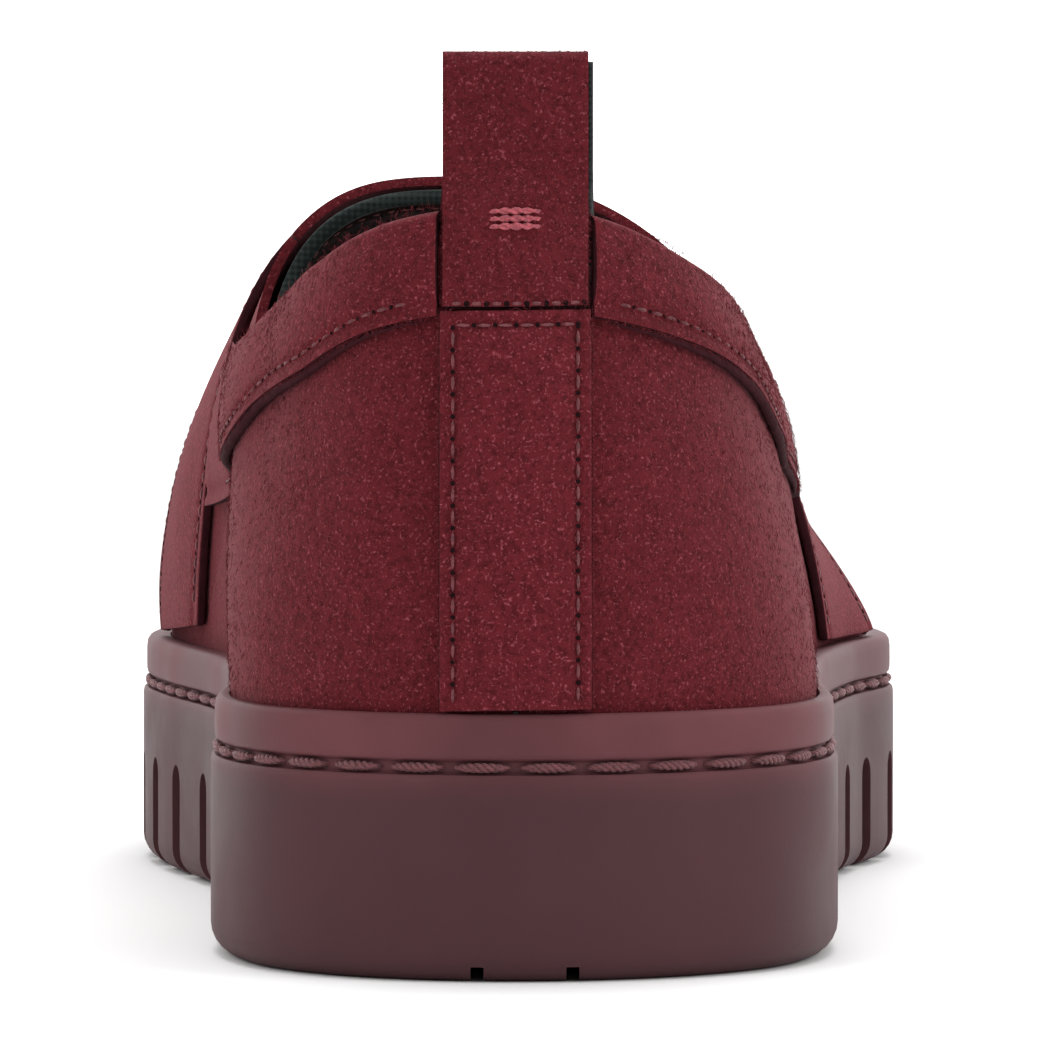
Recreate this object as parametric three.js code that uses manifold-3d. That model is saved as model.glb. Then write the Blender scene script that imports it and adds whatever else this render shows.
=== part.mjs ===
import * as THREE from "three";
import { mergeVertices } from "three/addons/utils/BufferGeometryUtils.js";
import Module from "manifold-3d";

// A right-foot suede penny loafer on a moulded platform cup sole, with a pull tab at the heel.
// Millimetres: toe towards +Y, outer side of the foot towards +X, up +Z. Shaping is done with the
// back of the sole at y = 0; the finished group is moved so the origin lies under the sole's middle.

// Sole and fit
const soleLength = 272;
const ballWidth = 88; // across the last at the ball of the foot
const soleHeight = 30.8; // floor to the top of the rim
const toeSpring = 4; // how far the toe tip lifts off the floor
const toeSpringStart = 200; // distance from the heel where the lift begins
const heelRimWall = 2.2;
const foreRimWall = 3.7;
const clearance = 0.3; // between pieces that touch
const overlayClearance = 0.4; // under the pieces sewn on top of the suede
const instepHeight = 62; // last above the rim at the throat

// Layers of the upper, counted outwards from the last
const liningThickness = 0.8;
const paddingThickness = 1.2;
const puffThickness = 0.8;
const suedeThickness = 1.2;
const overlayThickness = 1.2;

// Cup sole
const bottomRounding = 3.5;
const grooveBottom = 23.8;
const grooveHeight = 1.7;
const grooveDepth = 1.4;
const threadDiameter = 1;
const cupFloor = 14;
const upperFoot = 7.5; // how far the upper reaches below the rim
const insoleBoardThickness = 1.5;
const footbedThickness = 4;
const sockThickness = 0.8;
const shankLength = 104;
const shankWidth = 13;
const shankThickness = 1.2;

// Tread
const lugPitch = 13.5;
const lugGrooveWidth = 5;
const lugGrooveReach = 3.2;
const lugGrooveTop = 15;
const lugStart = 122; // from the heel
const channelDepth = 1.8;
const heelChannelWidth = 1.6;
const heelChannelSpread = 11;

// Upper
const heelTopline = 58.2; // above the rim
const sideTopline = 40;
const quarterFrontLow = 7.7; // last station of the quarter's front edge at the rim
const throatStation = 6.1;
const backstayWidth = 17.6;
const backstayHeight = 45.4; // above the rim
const counterHeight = 29.6;
const bindingWidth = 1;
const strapSlotWidth = 24;
const strapSlotHeight = 5;

// Pull tab
const tabWidth = 16.8;
const tabRise = 17.4; // above the topline
const tabPly = 1.2;
const tabGap = 1;
const innerLegLength = 22;
const tackWidth = 6.6;
const tackHeight = 54.5; // above the rim

const lining = [0, liningThickness];
const padding = [lining[1] + clearance, lining[1] + clearance + paddingThickness];
const suede = [padding[1] + clearance, padding[1] + clearance + suedeThickness];
const overlay = [suede[1] + overlayClearance, suede[1] + overlayClearance + overlayThickness];
const rimInner = suede[1] + clearance;
const lastStart = rimInner + heelRimWall;
const lastLength = soleLength - lastStart - rimInner - foreRimWall;
const fillerTop = soleHeight - upperFoot - clearance;

// The last: stations from the middle of the heel (0) to the toe tip (14). Each row gives the rim's
// share of the length, the inner rim, outer rim and ridge as shares of half the ball width, the
// ridge's share of the length, its height as a share of the instep, and how square the inner and
// outer sides are.
const stations = [
  [0, -0.011, -0.011, -0.051, 0.107, 1.516, 2, 2],
  [0.011, -0.3, 0.277, -0.054, 0.119, 1.49, 1.78, 1.76],
  [0.042, -0.52, 0.52, -0.046, 0.138, 1.45, 1.55, 1.56],
  [0.086, -0.645, 0.665, -0.043, 0.169, 1.38, 1.5, 1.48],
  [0.15, -0.7, 0.725, -0.07, 0.208, 1.27, 1.85, 1.52],
  [0.266, -0.685, 0.72, -0.13, 0.286, 1.11, 2.75, 1.82],
  [0.383, -0.69, 0.73, -0.165, 0.387, 0.963, 3.4, 2.35],
  [0.499, -0.77, 0.765, -0.23, 0.499, 0.845, 3.2, 2.25],
  [0.615, -0.92, 0.86, -0.3, 0.608, 0.665, 2.7, 1.8],
  [0.712, -1.004, 0.995, -0.29, 0.701, 0.508, 2.35, 1.62],
  [0.809, -0.966, 0.943, -0.18, 0.778, 0.427, 2.25, 1.8],
  [0.898, -0.83, 0.8, -0.1, 0.84, 0.379, 2.2, 2.1],
  [0.96, -0.6, 0.55, -0.06, 0.88, 0.352, 2.2, 2.2],
  [0.991, -0.33, 0.27, -0.03, 0.9, 0.335, 2.2, 2.2],
  [1, -0.03, -0.03, -0.03, 0.906, 0.329, 2.2, 2.2],
];
const toeStation = stations.length - 1;
const ringStations = 2 * toeStation;
const innerFullness = 0.1; // how far the inner side swells above the rim

const wasm = await Module();
wasm.setup();

const mix = (a, b, share) => a + (b - a) * share;

function cubic(before, from, to, after, share) {
  const bend = 2 * before - 5 * from + 4 * to - after;
  const twist = 3 * (from - to) + after - before;
  return from + 0.5 * share * (to - before + share * (bend + share * twist));
}

function alongValues(values, place) {
  const last = values.length - 1;
  const held = Math.min(Math.max(place, 0), last);
  const i = Math.min(Math.floor(held), last - 1);
  const pick = (k) => values[Math.min(Math.max(k, 0), last)];
  return cubic(pick(i - 1), pick(i), pick(i + 1), pick(i + 2), held - i);
}

// One column of the station table, read round the whole last: outer side, toe, inner side.
function ringValue(place, read) {
  const i = Math.floor(place);
  const pick = (k) => {
    const wrapped = ((k % ringStations) + ringStations) % ringStations;
    const outer = wrapped <= toeStation;
    return read(stations[outer ? wrapped : ringStations - wrapped], outer);
  };
  return cubic(pick(i - 1), pick(i), pick(i + 1), pick(i + 2), place - i);
}

const lift = (y) => toeSpring * Math.max(0, (y - toeSpringStart) / (soleLength - toeSpringStart)) ** 2;

function rimPoint(station) {
  const x = ringValue(station, (row, outer) => (outer ? row[2] : row[1])) * ballWidth * 0.5;
  const y = lastStart + ringValue(station, (row) => row[0]) * lastLength;
  return new THREE.Vector2(x, y);
}

function rimPointOut(station, out) {
  const step = 0.02;
  const along = rimPoint(station + step).sub(rimPoint(station - step)).normalize();
  return rimPoint(station).add(new THREE.Vector2(along.y, -along.x).multiplyScalar(out));
}

const ridgeHeight = (station) => ringValue(station, (row) => row[5]) * instepHeight;
const squareness = (station) => ringValue(station, (row, outer) => (outer ? row[7] : row[6]));

// A point of the last: rise 0 at the rim, 1 on the ridge, -1 at the foot of the upper in the cup.
function lastPoint(station, rise) {
  if (rise > 1) return lastPoint(ringStations - station, 2 - rise);
  const rim = rimPoint(station);
  if (rise <= 0) return new THREE.Vector3(rim.x, rim.y, soleHeight + rise * upperFoot);
  const turn = (rise * Math.PI) / 2;
  const power = 2 / squareness(station);
  const ridgeX = ringValue(station, (row) => row[3]) * ballWidth * 0.5;
  const ridgeY = lastStart + ringValue(station, (row) => row[4]) * lastLength;
  const swell = ringValue(station, (row, outer) => (outer ? 0 : innerFullness));
  const reach = Math.cos(turn) ** power + swell * Math.sin(2 * turn);
  const height = ridgeHeight(station) * Math.sin(turn) ** power;
  return new THREE.Vector3(mix(ridgeX, rim.x, reach), mix(ridgeY, rim.y, reach), soleHeight + height);
}

// The same point moved outwards from the last's surface, and lifted where the toe springs up.
function skinPoint(station, rise, out) {
  const step = 0.01;
  const along = lastPoint(station + step, rise).sub(lastPoint(station - step, rise));
  const up = lastPoint(station, rise + step).sub(lastPoint(station, rise - step));
  const normal = along.cross(up);
  if (normal.length() < 1e-9) normal.set(0, 0, 1);
  const moved = lastPoint(station, rise).addScaledVector(normal.normalize(), out);
  return moved.setZ(moved.z + lift(moved.y));
}

function riseAt(station, height) {
  if (height <= 0) return height / upperFoot;
  const share = Math.min(height / ridgeHeight(station), 1);
  return (Math.asin(share ** (squareness(station) / 2)) * 2) / Math.PI;
}

function heightAt(station, rise) {
  if (rise <= 0) return rise * upperFoot;
  return ridgeHeight(station) * Math.sin((rise * Math.PI) / 2) ** (2 / squareness(station));
}

// The station where a face that stands off the heel is x from its middle, at a height above the rim.
function stationAcrossHeel(x, height, out) {
  let low = -3;
  let high = 3;
  while (high - low > 1e-5) {
    const middle = (low + high) / 2;
    if (skinPoint(middle, riseAt(middle, height), out).x < x) low = middle;
    else high = middle;
  }
  return (low + high) / 2;
}

const fold = (station) => Math.min(Math.abs(station), Math.abs(ringStations - station));
const outerSide = (station) => station >= 0 && station <= toeStation;
const topline = (station) => {
  const [a, b, c, d, e, f] = outerSide(station) ? [2.5, 7.1, 10.8, 3.5, 0.6, -0.5] : [1.9, 6.6, 11, 2.6, 0.9, 0];
  const rear = [heelTopline, heelTopline - a, heelTopline - b, heelTopline - c];
  return alongValues([...rear, sideTopline + d, sideTopline + e, sideTopline + f], fold(station));
};
const outerCollarDepths = [12.5, 12.2, 11.2, 11.9, 13.6, 15, 17, 20, 22];
const innerCollarDepths = [12.5, 12.6, 13.5, 12.8, 13.5, 14.8, 17.2, 20, 22];
const collarLow = (station) => {
  const depths = outerSide(station) ? outerCollarDepths : innerCollarDepths;
  return topline(station) - alongValues(depths, fold(station));
};
const plugRises = [0.62, 0.61, 0.59, 0.57, 0.56, 0.545, 0.53, 0.52, 0.515];
const plugEdge = (station) => alongValues(plugRises, fold(station) - 6);

// What one station is long at the throat, and the share of it that leaves a clearance there.
const stationLength = rimPoint(throatStation + 1).y - rimPoint(throatStation).y;
const stationStep = (1.2 * clearance) / stationLength;

function quarterFront(height) {
  const share = Math.min(Math.max(height / sideTopline, 0), 1);
  return mix(quarterFrontLow, throatStation, share);
}

function saddleRear(rise) {
  return mix(6.42, 7.6, (1 - rise) ** 1.6);
}

function saddleFront(rise) {
  return mix(7.4, 8.9, (1 - rise) ** 1.6);
}

// Geometry from triangles of points, closed and facing outwards.
function closed(triangles) {
  const g = new THREE.BufferGeometry().setFromPoints(triangles.flat());
  const merged = mergeVertices(g, 1e-3);
  const p = merged.attributes.position;
  const kept = [];
  for (let i = 0; i < merged.index.count; i += 3) {
    const [a, b, c] = [0, 1, 2].map((k) => merged.index.getX(i + k));
    if (a !== b && b !== c && a !== c) kept.push([a, b, c]);
  }
  const at = (i) => new THREE.Vector3().fromBufferAttribute(p, i);
  const volume = kept.reduce((sum, [a, b, c]) => sum + at(a).dot(at(b).cross(at(c))), 0);
  merged.setIndex(kept.map((f) => (volume < 0 ? [f[0], f[2], f[1]] : f)).flat());
  return merged;
}

function quad(list, a, b, c, d) {
  list.push([a, b, c], [a, c, d]);
}

// A sheet of the upper: place(u, v) gives [station, rise] over the sheet, and the layer gives how
// far its inner and outer faces stand off the last. A joined sheet closes on itself at v = 1.
function sheet(cols, rows, layer, place, joined = false) {
  const face = layer.map((out) => {
    const rowOf = (j) => (i) => skinPoint(...place(i / cols, j / rows), out);
    return Array.from({ length: rows + 1 }, (_, j) => Array.from({ length: cols + 1 }, (_, i) => rowOf(j)(i)));
  });
  const [inner, outer] = face;
  const list = [];
  for (let j = 0; j < rows; j++) {
    for (let i = 0; i < cols; i++) {
      quad(list, outer[j][i], outer[j][i + 1], outer[j + 1][i + 1], outer[j + 1][i]);
      quad(list, inner[j][i], inner[j + 1][i], inner[j + 1][i + 1], inner[j][i + 1]);
    }
    quad(list, inner[j][0], outer[j][0], outer[j + 1][0], inner[j + 1][0]);
    quad(list, outer[j][cols], inner[j][cols], inner[j + 1][cols], outer[j + 1][cols]);
  }
  for (let i = 0; i < cols; i++) {
    quad(list, outer[0][i], inner[0][i], inner[0][i + 1], outer[0][i + 1]);
    if (!joined) quad(list, inner[rows][i], outer[rows][i], outer[rows][i + 1], inner[rows][i + 1]);
  }
  return closed(list);
}

// Heights over a wall that stands in the cup: the first row ends at the rim.
function wallHeight(v, rows, top) {
  const first = 1 / rows;
  return v < first ? mix(-upperFoot, 0, v / first) : mix(0, top, (v - first) / (1 - first));
}

// Rings round the sole, each a distance out from the last's rim and a height, joined in turn and
// closed across at the first and the last.
function stack(count, levels) {
  const rings = levels.map(([out, z]) =>
    Array.from({ length: count }, (_, i) => {
      const station = (ringStations * i) / count;
      const p = rimPointOut(station, typeof out === "number" ? out : out(station));
      return new THREE.Vector3(p.x, p.y, z + lift(p.y));
    }),
  );
  const list = [];
  for (let k = 0; k + 1 < rings.length; k++)
    for (let i = 0; i < count; i++) {
      const next = (i + 1) % count;
      quad(list, rings[k][i], rings[k][next], rings[k + 1][next], rings[k + 1][i]);
    }
  const cap = (ring, up) => {
    for (let i = 0; i < count / 2; i++) {
      const [a, b] = [ring[i], ring[i + 1]];
      const [c, d] = [ring[(count - i - 1) % count], ring[(count - i) % count]];
      if (up) quad(list, a, b, c, d);
      else quad(list, d, c, b, a);
    }
  };
  cap(rings[0], false);
  cap(rings.at(-1), true);
  return closed(list);
}

function solid(geometry) {
  const bare = geometry.clone();
  bare.deleteAttribute("normal");
  bare.deleteAttribute("uv");
  const merged = mergeVertices(bare, 1e-3);
  const triVerts = new Uint32Array(merged.index.array);
  const vertProperties = new Float32Array(merged.attributes.position.array);
  return new wasm.Manifold(new wasm.Mesh({ numProp: 3, vertProperties, triVerts }));
}

function cut(geometry, tools) {
  const left = tools.reduce((body, tool) => body.subtract(solid(tool)), solid(geometry));
  const mesh = left.getMesh();
  const g = new THREE.BufferGeometry();
  g.setAttribute("position", new THREE.BufferAttribute(mesh.vertProperties, 3));
  g.setIndex(new THREE.BufferAttribute(mesh.triVerts, 1));
  return g;
}

function cord(points, radius, sides, steps) {
  const ring = new THREE.Shape();
  for (let i = 0; i <= sides; i++) {
    const a = (2 * Math.PI * i) / sides;
    if (i) ring.lineTo(radius * Math.cos(a), radius * Math.sin(a));
    else ring.moveTo(radius, 0);
  }
  const extrudePath = new THREE.CatmullRomCurve3(points);
  return new THREE.ExtrudeGeometry(ring, { extrudePath, steps, curveSegments: 1 });
}

// Sole pieces

const rimOut = (station) => {
  const share = Math.min(Math.max((rimPoint(station).y / soleLength - 0.3) / 0.35, 0), 1);
  return rimInner + mix(heelRimWall, foreRimWall, share * share * (3 - 2 * share));
};
const fromRim = (inwards) => (station) => rimOut(station) - inwards;

function lugCutters() {
  const half = ringStations / 2;
  const count = Math.floor((soleLength - lugStart) / lugPitch) * 2 + 5;
  return Array.from({ length: count }, (_, i) => {
    const station = mix(6.55, ringStations - 6.55, i / (count - 1));
    const p = rimPointOut(station, rimOut(station));
    const inside = rimPointOut(station, rimOut(station) - lugGrooveReach);
    const away = new THREE.Vector2().subVectors(p, inside).normalize();
    const width = lugGrooveWidth * (Math.abs(station - half) < 3 ? 0.8 : 1);
    const outline = new THREE.Shape();
    outline.moveTo(-width / 2, -2);
    outline.lineTo(width / 2, -2);
    outline.lineTo(width / 2, lugGrooveTop - width / 2);
    outline.absarc(0, lugGrooveTop - width / 2, width / 2, 0, Math.PI);
    outline.lineTo(-width / 2, -2);
    const depth = lugGrooveReach + 6;
    const g = new THREE.ExtrudeGeometry(outline, { depth, bevelEnabled: false, curveSegments: 3 });
    g.rotateX(Math.PI / 2).rotateZ(Math.atan2(away.y, away.x) - Math.PI / 2);
    return g.translate(p.x + away.x * 6, p.y + away.y * 6, lift(p.y));
  });
}

function heelChannels() {
  return [-1, 1].map((side) => {
    const g = new THREE.BoxGeometry(heelChannelWidth, 78, 2 * channelDepth);
    return g.translate((side * heelChannelSpread) / 2, 30, 0);
  });
}

function foreChannels() {
  return [0, 1, 2, 3].map((i) => {
    const g = new THREE.BoxGeometry(ballWidth * 0.62, 3, 2 * channelDepth);
    return g.translate(0, 138 + i * 2 * lugPitch * 0.62, 0);
  });
}

function cupSole() {
  const round = [0, 1, 2, 3, 4].map((i) => {
    const a = (i * Math.PI) / 8;
    return [fromRim(bottomRounding * (1 - Math.sin(a))), bottomRounding * (1 - Math.cos(a))];
  });
  const grooveTop = grooveBottom + grooveHeight;
  const levels = [
    ...round,
    [fromRim(0), grooveBottom - 0.5],
    [fromRim(0.5), grooveBottom],
    [fromRim(grooveDepth), grooveBottom],
    [fromRim(grooveDepth), grooveTop],
    [fromRim(0.4), grooveTop],
    [fromRim(0), grooveTop + 0.5],
    [fromRim(0), soleHeight - 0.8],
    [fromRim(0.7), soleHeight],
    [rimInner, soleHeight],
    [rimInner, cupFloor],
  ];
  return cut(stack(92, levels), [...lugCutters(), ...heelChannels(), ...foreChannels()]);
}

function midsoleFiller() {
  const out = rimInner - clearance;
  const body = stack(72, [
    [out, cupFloor + clearance],
    [out, fillerTop],
  ]);
  const reach = 2 * clearance;
  const pocket = new THREE.BoxGeometry(shankWidth + reach, shankLength + reach, 2 * (shankThickness + reach));
  return cut(body, [pocket.translate(0, lastStart + 100, fillerTop)]);
}

function shank() {
  const g = new THREE.BoxGeometry(shankWidth, shankLength, shankThickness);
  return g.translate(0, lastStart + 100, fillerTop - clearance - shankThickness / 2);
}

const boardBottom = fillerTop + clearance;
const footbedBottom = boardBottom + insoleBoardThickness + clearance;
const sockBottom = footbedBottom + footbedThickness + clearance;

function insoleBoard() {
  return stack(64, [
    [-2 * clearance, boardBottom],
    [-2 * clearance, boardBottom + insoleBoardThickness],
  ]);
}

function footbed() {
  return stack(64, [
    [-2 * clearance, footbedBottom],
    [-2 * clearance, footbedBottom + footbedThickness],
  ]);
}

function sockLining() {
  return stack(64, [
    [-2 * clearance, sockBottom],
    [-2 * clearance, sockBottom + sockThickness],
  ]);
}

function soleStitch() {
  const count = 110;
  const middle = grooveBottom + grooveHeight / 2;
  const points = Array.from({ length: count + 1 }, (_, i) => {
    const station = mix(0.04, ringStations - 0.04, i / count);
    const p = rimPointOut(station, rimOut(station) - grooveDepth / 2 + 0.05);
    return new THREE.Vector3(p.x, p.y, middle + lift(p.y));
  });
  return cord(points, threadDiameter / 2, 4, 110);
}

// Pieces of the upper

function quarter(side) {
  const rows = 9;
  return sheet(17, rows, suede, (u, v) => {
    const edgeHeight = wallHeight(v, rows, sideTopline);
    const station = mix(0.02, quarterFront(edgeHeight), u);
    return [side * station, riseAt(side * station, wallHeight(v, rows, topline(side * station)))];
  });
}

function vamp() {
  const rows = 9;
  return sheet(36, rows, suede, (u, v) => {
    const first = 1 / rows;
    const riseTo = (top) => (v < first ? v / first - 1 : mix(0, top, (v - first) / (1 - first)));
    const rearEdge = (side) => {
      let edge = 6.6;
      for (let i = 0; i < 8; i++) edge = quarterFront(heightAt(side * edge, riseTo(plugEdge(edge))));
      return edge + 1.3 * stationStep;
    };
    const station = mix(rearEdge(1), ringStations - rearEdge(-1), u);
    return [station, riseTo(plugEdge(station) - 0.005)];
  });
}

// A sheet that crosses the ridge: u runs from the outer side (0) to the inner side (1).
const across = (u, station) => (u < 0.5 ? station : ringStations - station);

function vampPlug() {
  const place = (u, v) => {
    const station = mix(throatStation + stationStep, toeStation, v);
    const rise = 1 - Math.abs(2 * u - 1) * (1 - plugEdge(station) - 0.005);
    return [across(u, station), rise];
  };
  return sheet(12, 18, suede, place, true);
}

function saddleStrap() {
  const strap = sheet(40, 5, overlay, (u, v) => {
    const side = Math.abs(2 * u - 1);
    const foot = riseAt(7.6, 3 * clearance);
    const rise = 1 - side * (1 - foot);
    return [across(u, mix(saddleRear(rise), saddleFront(rise), v)), rise];
  });
  const middle = lastPoint(7, 1);
  const half = strapSlotWidth / 2;
  const lens = new THREE.Shape();
  lens.moveTo(-half, 0);
  lens.quadraticCurveTo(0, -strapSlotHeight, half, 0);
  lens.quadraticCurveTo(0, strapSlotHeight, -half, 0);
  const slot = new THREE.ExtrudeGeometry(lens, { depth: 24, bevelEnabled: false, curveSegments: 5 });
  return cut(strap, [slot.translate(middle.x, middle.y - 3, middle.z - 8)]);
}

function heelStrip(width, layer, low, high, rows) {
  return sheet(6, rows, layer, (u, v) => {
    const height = mix(low, high, v);
    const station = stationAcrossHeel(lastPoint(0, 0).x + (u - 0.5) * width, height, layer[1]);
    return [station, riseAt(station, height)];
  });
}

function backstay() {
  return heelStrip(backstayWidth, overlay, 2 * clearance, backstayHeight, 8);
}

function tabOuterLeg() {
  return heelStrip(tabWidth, overlay, backstayHeight + clearance, heelTopline, 3);
}

function tabInnerLeg() {
  const layer = [-overlayClearance - tabPly, -overlayClearance];
  return heelStrip(tabWidth, layer, heelTopline - innerLegLength, heelTopline, 4);
}

function collarBand(side) {
  const heightOf = (station, v) => mix(collarLow(side * station), topline(side * station), v);
  return sheet(18, 4, overlay, (u, v) => {
    const widest = Math.max(backstayWidth, tabWidth);
    const edge = lastPoint(0, 0).x + side * (widest / 2 + clearance);
    const rear = side * stationAcrossHeel(edge, heightOf(0.7, v), overlay[1]);
    let front = 6.7;
    for (let i = 0; i < 8; i++) {
      front = saddleRear(riseAt(side * front, heightOf(front, v))) - 2 * stationStep;
    }
    const station = mix(rear, front, u);
    return [side * station, riseAt(side * station, heightOf(station, v))];
  });
}

function collarFoam() {
  return sheet(30, 3, padding, (u, v) => {
    const station = mix(-5.95, 5.95, u);
    const height = mix(counterHeight + 2 * clearance, topline(station) - 1, v);
    return [station, riseAt(station, height)];
  });
}

function heelCounter() {
  const rows = 6;
  return sheet(26, rows, padding, (u, v) => {
    const station = mix(-5.2, 5.2, u);
    return [station, riseAt(station, wallHeight(v, rows, counterHeight))];
  });
}

function toePuff() {
  const place = (u, v) => {
    const station = mix(11.2, toeStation, v);
    return [across(u, station), mix(1, -1, Math.abs(2 * u - 1))];
  };
  return sheet(20, 8, [padding[1] - puffThickness, padding[1]], place, true);
}

function heelLining() {
  const rows = 7;
  return sheet(28, rows, lining, (u, v) => {
    const station = mix(-throatStation, throatStation, u);
    return [station, riseAt(station, wallHeight(v, rows, topline(station)))];
  });
}

function vampLining() {
  const place = (u, v) => {
    const station = mix(throatStation + stationStep, toeStation, v);
    return [across(u, station), mix(1, -1, Math.abs(2 * u - 1))];
  };
  return sheet(20, 16, lining, place, true);
}

function throatBinding() {
  const layer = [-0.2, suede[1] + 0.2];
  return sheet(24, 1, layer, (u, v) => {
    const station = throatStation - mix(bindingWidth / stationLength, 0, v);
    const foot = riseAt(across(u, station), topline(across(u, station)) + 2 * clearance);
    return [across(u, station), 1 - Math.abs(2 * u - 1) * (1 - foot)];
  });
}

function mocSeam() {
  const count = 60;
  const out = suede[1] + clearance + 0.5;
  const start = 8.3;
  const points = Array.from({ length: count + 1 }, (_, i) => {
    const station = mix(start, ringStations - start, i / count);
    return skinPoint(station, plugEdge(station), out);
  });
  return cord(points, 0.5, 4, 64);
}

// Pull tab: a strap folded over, hinged where it is sewn to the top of the heel.

const toplineBack = skinPoint(0, riseAt(0, heelTopline), (overlay[1] - clearance - tabPly) / 2);
const hingeRadius = tabPly + tabGap / 2 + 0.4;
const hinge = new THREE.Vector3(lastPoint(0, 0).x, toplineBack.y, toplineBack.z + hingeRadius + 4 * clearance);

function pullTab() {
  const half = tabPly + tabGap / 2;
  const height = tabRise - hingeRadius - 4 * clearance;
  const loop = new THREE.Shape();
  loop.absarc(0, 0, hingeRadius, Math.PI * 0.85, Math.PI * 2.15);
  loop.lineTo(half, hingeRadius + 1.2);
  loop.lineTo(half, height - half);
  loop.absarc(0, height - half, half, 0, Math.PI);
  loop.lineTo(-half, hingeRadius + 1.2);
  const slit = new THREE.Path();
  slit.absarc(0, height - half, tabGap / 2, 0, Math.PI);
  slit.lineTo(-tabGap / 2, hingeRadius);
  slit.lineTo(tabGap / 2, hingeRadius);
  loop.holes.push(slit);
  const g = new THREE.ExtrudeGeometry(loop, { depth: tabWidth, bevelEnabled: false, curveSegments: 8 });
  g.translate(0, 0, -tabWidth / 2).rotateX(Math.PI / 2).rotateZ(Math.PI / 2);
  return g.translate(hinge.x, hinge.y, hinge.z);
}

// A bar of close stitches across the outer leg, just under the topline.
function tabBarTack() {
  const layer = [overlay[1] + clearance, overlay[1] + clearance + threadDiameter / 2];
  return heelStrip(tackWidth, layer, tackHeight, tackHeight + 2 * threadDiameter, 1);
}

// Materials

const material = (color, roughness, metalness = 0) =>
  new THREE.MeshStandardMaterial({ color, roughness, metalness });
const suedeLook = () => material(0x6e2330, 0.95);
const overlayLook = () => material(0x74283a, 0.95);
const rubberLook = () => material(0x5e3c40, 0.7);
const liningLook = () => material(0x2a1a18, 0.85);
const bindingLook = () => material(0x283230, 0.8);
const paddingLook = () => material(0x6b6258, 0.95);
const threadLook = () => material(0x5a2430, 0.6);
const roseThreadLook = () => material(0xaa4655, 0.6);
const boardLook = () => material(0x8a7350, 0.9);
const steelLook = () => material(0x9a9da0, 0.35, 1);
const evaLook = () => material(0x4a3a3a, 0.85);
const stiffenerLook = () => material(0xb9b2a2, 0.8);

const group = new THREE.Group();

function add(name, geometry, look) {
  const smooth = geometry.index ? geometry : mergeVertices(geometry, 1e-4);
  smooth.computeVertexNormals();
  const mesh = new THREE.Mesh(smooth, look);
  mesh.name = name;
  group.add(mesh);
}

add("cup_sole", cupSole(), rubberLook());
add("midsole_filler", midsoleFiller(), evaLook());
add("shank", shank(), steelLook());
add("insole_board", insoleBoard(), boardLook());
add("footbed", footbed(), paddingLook());
add("sock_lining", sockLining(), liningLook());
add("sole_stitch", soleStitch(), threadLook());
add("heel_lining", heelLining(), liningLook());
add("vamp_lining", vampLining(), liningLook());
add("heel_counter", heelCounter(), stiffenerLook());
add("collar_foam", collarFoam(), paddingLook());
add("toe_puff", toePuff(), stiffenerLook());
add("quarter_outer", quarter(1), suedeLook());
add("quarter_inner", quarter(-1), suedeLook());
add("vamp", vamp(), suedeLook());
add("vamp_plug", vampPlug(), suedeLook());
add("moc_seam_thread", mocSeam(), threadLook());
add("saddle_strap", saddleStrap(), overlayLook());
add("collar_band_outer", collarBand(1), overlayLook());
add("collar_band_inner", collarBand(-1), overlayLook());
add("backstay", backstay(), overlayLook());
add("throat_binding", throatBinding(), bindingLook());
add("tab_outer_leg", tabOuterLeg(), overlayLook());
add("tab_inner_leg", tabInnerLeg(), overlayLook());
add("pull_tab", pullTab(), overlayLook());
add("tab_bar_tack", tabBarTack(), roseThreadLook());

const box = new THREE.Box3().setFromObject(group);
const middle = box.getCenter(new THREE.Vector3());
group.children.forEach((mesh) => mesh.geometry.translate(-middle.x, -middle.y, -box.min.z));

export default group;
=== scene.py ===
import math

import bmesh
import bpy
import numpy as np
from mathutils import Matrix, Vector, noise


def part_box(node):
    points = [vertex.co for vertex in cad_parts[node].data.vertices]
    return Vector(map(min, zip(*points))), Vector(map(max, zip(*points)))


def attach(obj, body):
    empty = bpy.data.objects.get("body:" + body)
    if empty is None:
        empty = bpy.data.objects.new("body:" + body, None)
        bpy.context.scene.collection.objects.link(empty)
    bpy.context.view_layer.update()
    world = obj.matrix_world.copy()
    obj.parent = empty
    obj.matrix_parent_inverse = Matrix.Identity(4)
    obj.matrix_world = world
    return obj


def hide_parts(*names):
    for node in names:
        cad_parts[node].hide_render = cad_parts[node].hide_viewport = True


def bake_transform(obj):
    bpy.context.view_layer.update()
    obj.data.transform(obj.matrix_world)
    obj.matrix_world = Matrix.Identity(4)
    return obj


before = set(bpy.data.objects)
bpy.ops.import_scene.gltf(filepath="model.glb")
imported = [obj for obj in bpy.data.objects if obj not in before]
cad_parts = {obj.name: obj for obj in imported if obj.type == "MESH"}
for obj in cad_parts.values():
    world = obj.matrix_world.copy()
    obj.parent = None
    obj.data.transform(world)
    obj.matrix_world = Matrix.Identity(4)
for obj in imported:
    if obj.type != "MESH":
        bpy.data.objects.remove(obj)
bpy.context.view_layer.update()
scene = bpy.context.scene
scene.view_settings.view_transform = "Standard"

# The view: a long lens standing low behind the heel, level with the topline and tipped
# slightly down, on a plain white studio floor.
heel_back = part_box("cup_sole")[0][1]
camera = bpy.data.objects.new("camera", bpy.data.cameras.new("camera"))
scene.collection.objects.link(camera)
camera.data.sensor_width = 36
camera.data.lens = 275.6
camera.data.clip_start = 0.05
camera.location = (0.0002, heel_back - 0.909, 0.0847)
camera.rotation_euler = (math.radians(90 - 1.99), 0, 0)
scene.camera = camera

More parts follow.
